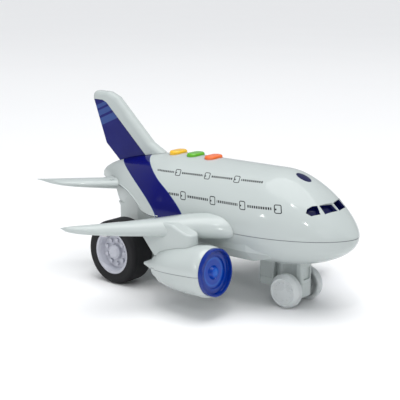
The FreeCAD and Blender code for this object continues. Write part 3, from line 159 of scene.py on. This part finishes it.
def moulded(name, colour, rough=(0.07, 0.13), peel=0.003, corner=0.25, cloud=0.965, **constants):
    """Moulded plastic: faint cloudiness in the colour, uneven polish, fine orange peel."""
    finish = Finish(name, **constants)
    cloudy = finish.noise(28.0)
    finish.base = finish.mixed(colour, tuple(c * cloud for c in colour), cloudy)
    finish.colour(finish.base)
    finish.roughness(*rough, finish.noise(9.0, 5.0))
    finish.bump(finish.noise(2.4, 2.0), peel, 0.5, corner)
    return finish


# ---------------------------------------------------------------- finishes

WHITE = (0.50, 0.545, 0.535)
NAVY = (0.0005, 0.0015, 0.115)
NAVY_CLOUD = (0.012, 0.016, 0.16)
NAVY_PALE = (0.035, 0.075, 0.26)
INK = (0.008, 0.008, 0.01)
PANE_BLUE = (0.002, 0.004, 0.06)


def through(height, points):
    """X of the smooth curve through three (x, z) points, as a field of the height z."""
    (x0, z0), (x1, z1), (x2, z2) = points
    first, second = (x1 - x0) / (z1 - z0), (x2 - x1) / (z2 - z1)
    bend = (second - first) / (z2 - z0)
    return (height - z1) * bend * (height - z0) + (height - z0) * first + x0


BAND_REAR = [(-67.8, 72.5), (-39.6, 64.7), (-12.1, 47.1)]
BAND_FRONT = [(-42.0, 79.1), (-4.7, 63.7), (8.9, 53.4)]
BAND_EDGE_HALF, BAND_EDGE_BLUR = 0.28, 0.2


def with_band(finish, base, x, z):
    """The navy band that sweeps down from the fin, with a fine pale edge."""
    rear, front = through(z, BAND_REAR), through(z, BAND_FRONT)
    edge = (rear - x).most(x - front)
    band = finish.mixed(base, NAVY, edge.inside())
    return finish.mixed(band, NAVY_PALE, (edge.size() - BAND_EDGE_HALF).inside(BAND_EDGE_BLUR)), edge


# Printed rows: height at x = 0, rise with x, steepness of the skin there, the doors' places,
# and where the small windows begin and end.
ROWS = [(75.3, 0.030, 1.62, (-4.5, 18.5, 40.8), (-22.4, 59.6)),
        (63.5, 0.014, 1.14, (7.6, 30.9, 53.2, 75.6), (-8.0, 72.0))]
DOOR_HALF, DOOR_CORNER, DOOR_LINE, DOOR_CLEAR = (1.85, 2.45), 0.8, 0.27, 3.3
HANDLE_BACK, HANDLE_DOWN, HANDLE_HALF, HANDLE_CORNER = 1.15, 0.2, (0.4, 0.55), 0.3
WINDOW_PITCH, WINDOW_HALF, LEAN = 1.45, (0.46, 0.80), 0.38


def box_distance(along, up, half, corner):
    """Distance from a rectangle with rounded corners."""
    a, b = along.size() - (half[0] - corner), up.size() - (half[1] - corner)
    far_a, far_b = a.most(0.0), b.most(0.0)
    reach = (far_a * far_a + far_b * far_b).apply("SQRT")
    return reach + a.most(b).least(0.0) - corner


def row_ink(x, z, row):
    """Ink of one row: door outlines with a small handle, and slanted windows between."""
    level, rise, steepness, doors, (start, end) = row
    up = (z - x * rise - level) * steepness
    along = x + up * LEAN
    nearest, ink = None, None
    for door in doors:
        shift = along - door
        line = box_distance(shift, up, DOOR_HALF, DOOR_CORNER).size() - DOOR_LINE
        handle = box_distance(shift + HANDLE_BACK, up + HANDLE_DOWN, HANDLE_HALF, HANDLE_CORNER)
        mark = line.least(handle)
        ink = mark if ink is None else ink.least(mark)
        nearest = shift.size() if nearest is None else nearest.least(shift.size())
    cell = along.apply("PINGPONG", WINDOW_PITCH / 2) - WINDOW_PITCH / 2
    window = (cell.size() - WINDOW_HALF[0]).most(up.size() - WINDOW_HALF[1])
    span = (along - end).most((along * -1.0) + start)
    window = window.most(span).most(nearest * -1.0 + DOOR_CLEAR)
    return ink.least(window)


# Painted shade in the gaps between the shells and between the cowl halves: the colours and half
# widths of the dark lines.
SEAM_SHADE, LIP_SHADE, COWL_SHADE = (0.26, 0.28, 0.29), (0.10, 0.11, 0.12), (0.30, 0.32, 0.33)
SEAM_LINE_HALF, LIP_LINE_EXTRA, LIP_LINE_FROM, COWL_LINE_HALF = 0.22, 0.2, -13.0, 0.2
# The line where the shells part: level with the seam to start, then rising under the tail.
LIP = [(-10.0, 47.4), (-24.8, 48.4), (-35.0, 53.3), (-42.7, 56.1), (-50.9, 57.8), (-60.0, 58.4)]
LIP_SPAN_X, LIP_SPAN_Z = (-60.0, 50.0), (47.4, 11.0)


def lip_height(finish, x):
    """Height of the parting line above the ground, as a field of x."""
    node = finish.tree.nodes.new("ShaderNodeFloatCurve")
    node.mapping.extend = "HORIZONTAL"
    points = node.mapping.curves[0].points
    scaled = sorted(((at - LIP_SPAN_X[0]) / LIP_SPAN_X[1], (height - LIP_SPAN_Z[0]) / LIP_SPAN_Z[1])
                    for at, height in LIP)
    for place in scaled[1:-1]:
        points.new(*place)
    for point, place in zip(sorted(points, key=lambda p: p.location[0]), scaled):
        point.location = place
    node.mapping.update()
    share = (x - LIP_SPAN_X[0]) * (1 / LIP_SPAN_X[1])
    finish.tree.links.new(share.apply("ADD", 0.0, clamp=True).socket, node.inputs["Value"])
    return Field(finish.tree, node.outputs[0]) * LIP_SPAN_Z[1] + LIP_SPAN_Z[0]


def painted_gap_shade(finish, base, x, z):
    """Painted shade in the gap between the two shells: fine and grey along the seam, wider and darker
    at the lip.
    """
    line = (z - lip_height(finish, x)).size() - SEAM_LINE_HALF
    seam = finish.mixed(base, SEAM_SHADE, line.inside(0.16))
    # A wider, darker painted shadow along the lip under the tail.
    lip = (line - LIP_LINE_EXTRA).most(x - LIP_LINE_FROM)
    return finish.mixed(seam, LIP_SHADE, lip.inside(0.2))


# Corners of the cockpit panes on the starboard side, and the way each one faces.
FRONT_PANE = [(93.8, -10.0, 66.2), (95.9, -1.3, 66.0), (99.7, -1.3, 62.7), (97.8, -10.5, 62.3)]
SIDE_PANE = [(90.2, -18.8, 63.0), (90.0, -17.2, 65.0), (91.2, -14.4, 66.2), (92.8, -12.2, 66.3),
             (95.7, -13.6, 62.4), (93.0, -17.9, 61.9)]
PANES = ((FRONT_PANE, (0.6, -0.05, 0.8)), (SIDE_PANE, (0.6, -0.5, 0.65)))
PANE_GROWTH = 1.13  # takes in the bevel round the pane


def pane_distance(x, y, z):
    """Below 0 within a cockpit pane and the bevel round it, on either side."""
    nearest = None
    across = y.size() * -1.0
    for corners, facing in PANES:
        facing = Vector(facing).normalized()
        spots = [Vector(corner) for corner in corners]
        middle = sum(spots, Vector()) / len(spots)
        pane = None
        for spot, following in zip(spots, spots[1:] + spots[:1]):
            out = (following - spot).cross(facing).normalized()
            out = out if out.dot(spot - middle) > 0 else -out
            reach = out.dot(middle) + out.dot(spot - middle) * PANE_GROWTH
            beyond = x * out.x + across * out.y + z * out.z - reach
            pane = beyond if pane is None else pane.most(beyond)
        nearest = pane if nearest is None else nearest.least(pane)
    return nearest


def upper_shell_finish():
    finish = moulded("upper_shell", WHITE, Specular_IOR_Level=0.26)
    x, y, z = finish.places()
    base, edge = with_band(finish, finish.base, x, z)
    ink = row_ink(x, z, ROWS[0]).least(row_ink(x, z, ROWS[1]))
    ink = ink.most(edge * -1.0)
    base = finish.mixed(base, INK, ink.inside(0.14))
    base = finish.mixed(base, PANE_BLUE, pane_distance(x, y, z).inside(0.2))
    # Painted shade along the gap between the upper and lower shells.
    finish.colour(painted_gap_shade(finish, base, x, z))
    return finish


def lower_shell_finish():
    finish = moulded("lower_shell", WHITE, Specular_IOR_Level=0.32)
    x, _, z = finish.places()
    # Painted shade along the gap between the upper and lower shells.
    finish.colour(painted_gap_shade(finish, finish.base, x, z))
    return finish


ENGINE_CENTRE, ENGINE_TILT = (51.0, 28.4), math.radians(5)


def nacelle_finish():
    """White cowl with painted shade along its shut line in the engine's own middle plane."""
    finish = moulded("nacelle", WHITE, Coat_Weight=0.2, Coat_Roughness=0.05)
    x, _, z = finish.places()
    along, up = x - ENGINE_CENTRE[0], z - ENGINE_CENTRE[1]
    level = up * math.cos(ENGINE_TILT) - along * math.sin(ENGINE_TILT)
    # Painted shade along the cowl's shut line.
    finish.colour(finish.mixed(finish.base, COWL_SHADE, (level.size() - COWL_LINE_HALF).inside(0.15)))
    return finish


# A point on the panel's front edge in X and Z, and the direction square to that edge.
FIN_EDGE = (-85.5, 111.0, 0.670, 0.742)
FIN_PANEL_HALF, FIN_PANEL_TOP = 2.62, 112.7
# Stripes: their slope, the x where their heights hold, and each one's height and half width.
STRIPE_TILT, STRIPE_X, STRIPES = 0.42, -90.0, ((98.0, 2.6), (104.5, 2.0), (109.5, 1.4))


def fin_finish():
    """White border, navy panel, and three plain pale stripes across the panel."""
    finish = moulded("fin", WHITE, Specular_IOR_Level=0.2)
    x, y, z = finish.places()
    ahead = (x - FIN_EDGE[0]) * FIN_EDGE[2] + (z - FIN_EDGE[1]) * FIN_EDGE[3]
    panel = (y.size() - FIN_PANEL_HALF).most(ahead).most(z - FIN_PANEL_TOP).inside(0.05)
    tone = finish.mixed(NAVY, NAVY_CLOUD, finish.noise(14.0))
    stripe = None
    for height, half in STRIPES:
        gap = (z - x * STRIPE_TILT - (height - STRIPE_X * STRIPE_TILT)).size() - half
        stripe = gap if stripe is None else stripe.least(gap)
    tone = finish.mixed(tone, NAVY_PALE, stripe.inside(0.4))
    finish.colour(finish.mixed(finish.base, tone, panel))
    return finish


def rubber_finish():
    """Black tyre rubber: matt with a soft bloom and a fine moulded grain."""
    finish = Finish("tyre_rubber", Specular_IOR_Level=0.22)
    bloom = finish.noise(12.0, 5.0)
    finish.colour(finish.mixed((0.004, 0.004, 0.005), (0.014, 0.014, 0.016), bloom))
    finish.roughness(0.42, 0.66, bloom)
    finish.bump(finish.noise(0.5, 2.0), 0.03, 0.6)
    return finish


def metal_finish(name, colour, rough=(0.22, 0.42)):
    finish = Finish(name, Metallic=1.0)
    streak = finish.noise(3.0, 4.0, (1, 6, 1))
    finish.colour(finish.mixed(colour, tuple(0.72 * c for c in colour), streak))
    finish.roughness(*rough, streak)
    finish.bump(finish.noise(0.4, 2.0), 0.01, 0.3)
    return finish


ENGINE_Y, LENS_Z = 55.0, 28.6
LENS_DEEP, LENS_LIT = (0.0003, 0.028, 0.30), (0.005, 0.13, 0.66)
LENS_RIM, LENS_RIM_BLUR, LENS_RING, LENS_RING_HALF, LENS_BOSS = 9.5, 6.0, 8.0, 0.5, 2.4


def lens_finish():
    """Translucent blue moulding, deeper toward the rim and lit up around the lamp."""
    finish = moulded("blue_lens", (0.0005, 0.075, 0.60), (0.05, 0.10), 0.004, 0.2, 0.75,
                     Transmission_Weight=0.3, IOR=1.49, Specular_IOR_Level=0.3)
    _, y, z = finish.places()
    across, up = y.size() - ENGINE_Y, z - LENS_Z
    radius = (across * across + up * up).apply("SQRT")
    deep = finish.mixed(finish.base, LENS_DEEP, (radius - LENS_RIM).outside(LENS_RIM_BLUR))
    ring = (radius - LENS_RING).size() - LENS_RING_HALF
    finish.colour(finish.mixed(deep, LENS_LIT, ring.least(radius - LENS_BOSS).inside(1.2)))
    return finish


FINISHES = {
    "white_plastic": moulded("white_plastic", WHITE, Specular_IOR_Level=0.32),
    "tyre_rubber": rubber_finish(),
    "hub_plastic": moulded("hub_plastic", (0.50, 0.51, 0.57), (0.26, 0.40), 0.004),
    "wheel_plastic": moulded("wheel_plastic", (0.60, 0.63, 0.63), (0.22, 0.36), 0.004, 0.2,
                             Subsurface_Weight=0.2, Subsurface_Radius=(0.002, 0.002, 0.002)),
    "blue_lens": lens_finish(),
    "glazing": moulded("glazing", PANE_BLUE, (0.04, 0.09), 0.003, 0.2,
                       Specular_IOR_Level=0.3),
    "yellow_button": moulded("yellow_button", (0.93, 0.53, 0.012), (0.14, 0.24), Coat_Weight=0.2),
    "green_button": moulded("green_button", (0.115, 0.46, 0.010), (0.14, 0.24), Coat_Weight=0.2),
    "orange_button": moulded("orange_button", (0.95, 0.165, 0.020), (0.14, 0.24), Coat_Weight=0.2),
    "steel": metal_finish("steel", (0.60, 0.60, 0.62)),
    "contact": metal_finish("contact", (0.72, 0.68, 0.58)),
    "gear_plastic": moulded("gear_plastic", (0.74, 0.72, 0.62), (0.40, 0.55)),
    "case_plastic": moulded("case_plastic", (0.045, 0.048, 0.052), (0.40, 0.55)),
    "silicone": moulded("silicone", (0.30, 0.31, 0.33), (0.50, 0.65)),
    "board": moulded("board", (0.015, 0.16, 0.05), (0.30, 0.45), 0.02),
    "component": moulded("component", (0.02, 0.02, 0.02), (0.40, 0.55)),
    "lamp_clear": moulded("lamp_clear", (0.80, 0.86, 0.95), (0.04, 0.08), Transmission_Weight=0.9),
    "cell": moulded("cell", (0.02, 0.12, 0.08), (0.18, 0.30)),
}
SPECIAL = {"fuselage_upper_shell": upper_shell_finish(), "fuselage_lower_shell": lower_shell_finish(),
           "tail_fin": fin_finish()}
cowl = nacelle_finish()
for half in ("upper", "lower"):
    for side in ("right", "left"):
        SPECIAL[f"nacelle_{half}_{side}"] = cowl
CREASE_DEGREES = 28
slots = {row["node"]: row["material_slot"] for row in frame["record"]["subparts"]}
for name, node in nodes.items():
    chosen = SPECIAL.get(name) or FINISHES[slots[name]]
    node.data.materials.clear()
    node.data.materials.append(chosen.material)
    node.data.polygons.foreach_set("use_smooth", [True] * len(node.data.polygons))
    creases = node.modifiers.new("creases", "EDGE_SPLIT")
    creases.split_angle = math.radians(CREASE_DEGREES)


# ---------------------------------------------------------------- raised bead on the shut line


BEAD_RADIUS, BEAD_ABOVE_LIP, CLEAR_OF_SKIN_Y = 0.45, 0.95, 60


def skin_point(tree, side, x, z):
    """The outside of the upper shell level with a point in X and Z."""
    start = Vector((x, side * CLEAR_OF_SKIN_Y, z)) * MM
    return tree.ray_cast(start, Vector((0, -side, 0)))[0]


def lip_bead(name, side):
    """A bead just above the parting line, lying on the upper shell."""
    tree = BVHTree.FromObject(nodes["fuselage_upper_shell"], bpy.context.evaluated_depsgraph_get())
    line = bpy.data.curves.new(name, "CURVE")
    line.dimensions = "3D"
    line.bevel_depth = BEAD_RADIUS * MM
    line.bevel_resolution = 3
    spline = line.splines.new("NURBS")
    places = [skin_point(tree, side, x, z + BEAD_ABOVE_LIP) for x, z in LIP]
    spline.points.add(len(places) - 1)
    for point, place in zip(spline.points, places):
        point.co = (*place, 1.0)
    spline.order_u = 4
    spline.use_endpoint_u = True
    bead = bpy.data.objects.new(name, line)
    scene.collection.objects.link(bead)
    line.materials.append(FINISHES["white_plastic"].material)
    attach(bead, "airframe")


for bead_name, bead_side in (("shut_line_bead_right", -1), ("shut_line_bead_left", 1)):
    lip_bead(bead_name, bead_side)


# ---------------------------------------------------------------- floor, light, camera


FLOOR_REACH = 14.0


def floor():
    size = FLOOR_REACH
    mesh = bpy.data.meshes.new("floor")
    corners = [(-size, -size, 0), (size, -size, 0), (size, size, 0), (-size, size, 0)]
    mesh.from_pydata(corners, [], [(0, 1, 2, 3)])
    plane = bpy.data.objects.new("floor", mesh)
    scene.collection.objects.link(plane)
    finish = Finish("pale_floor", Specular_IOR_Level=0.2)
    finish.colour(finish.mixed((0.93, 0.93, 0.93), (0.91, 0.91, 0.915), finish.noise(300.0)))
    finish.roughness(0.55, 0.65, finish.noise(40.0))
    mesh.materials.append(finish.material)


def aimed(obj, place, target):
    obj.location = place
    obj.rotation_euler = (Vector(target) - Vector(place)).to_track_quat("-Z", "Y").to_euler()
    scene.collection.objects.link(obj)


AIM = (0, 0, 0.05)


def softbox(name, place, width, height, watts):
    light = bpy.data.lights.new(name, "AREA")
    light.shape = "RECTANGLE"
    light.size, light.size_y = width, height
    light.energy = watts
    aimed(bpy.data.objects.new(name, light), place, AIM)


def overhead(strength, spread_degrees):
    """Even light from above, so the floor stays pale as far as the horizon."""
    light = bpy.data.lights.new("overhead", "SUN")
    light.energy = strength
    light.angle = math.radians(spread_degrees)
    aimed(bpy.data.objects.new("overhead", light), (0.0, 0.2, 3.0), (0.0, 0.0, 0.0))


def world(strength):
    scene.world = bpy.data.worlds.new("studio")
    scene.world.use_nodes = True
    background = scene.world.node_tree.nodes["Background"]
    background.inputs["Color"].default_value = (0.93, 0.96, 1.0, 1.0)
    background.inputs["Strength"].default_value = strength


def camera():
    lens = bpy.data.cameras.new("camera")
    lens.lens = 87.26
    lens.sensor_width = 36.0
    lens.clip_start = 0.01
    eye = bpy.data.objects.new("camera", lens)
    aimed(eye, (0.3891, -0.4736, 0.1959), (-0.005, 0.0, 0.05338))
    scene.camera = eye


floor()
world(0.42)
overhead(1.65, 50)
# Softboxes: name, place, width and height in metres, watts.
for softbox_row in (("top_softbox", (0.1, 0.1, 1.5), 2.4, 2.0, 7.0),
                    ("front_softbox", (0.95, -0.55, 0.45), 0.4, 0.5, 1.0),
                    ("side_softbox", (-0.45, -0.95, 0.55), 0.6, 0.5, 0.7),
                    ("small_front_light", (0.50, -0.55, 0.55), 0.04, 0.04, 0.55),
                    ("small_high_light", (0.25, -0.30, 0.75), 0.04, 0.04, 0.55),
                    ("small_side_light", (-0.10, -0.80, 0.42), 0.04, 0.04, 0.55)):
    softbox(*softbox_row)
camera()
scene.view_settings.view_transform = "Standard"
scene.view_settings.look = "None"
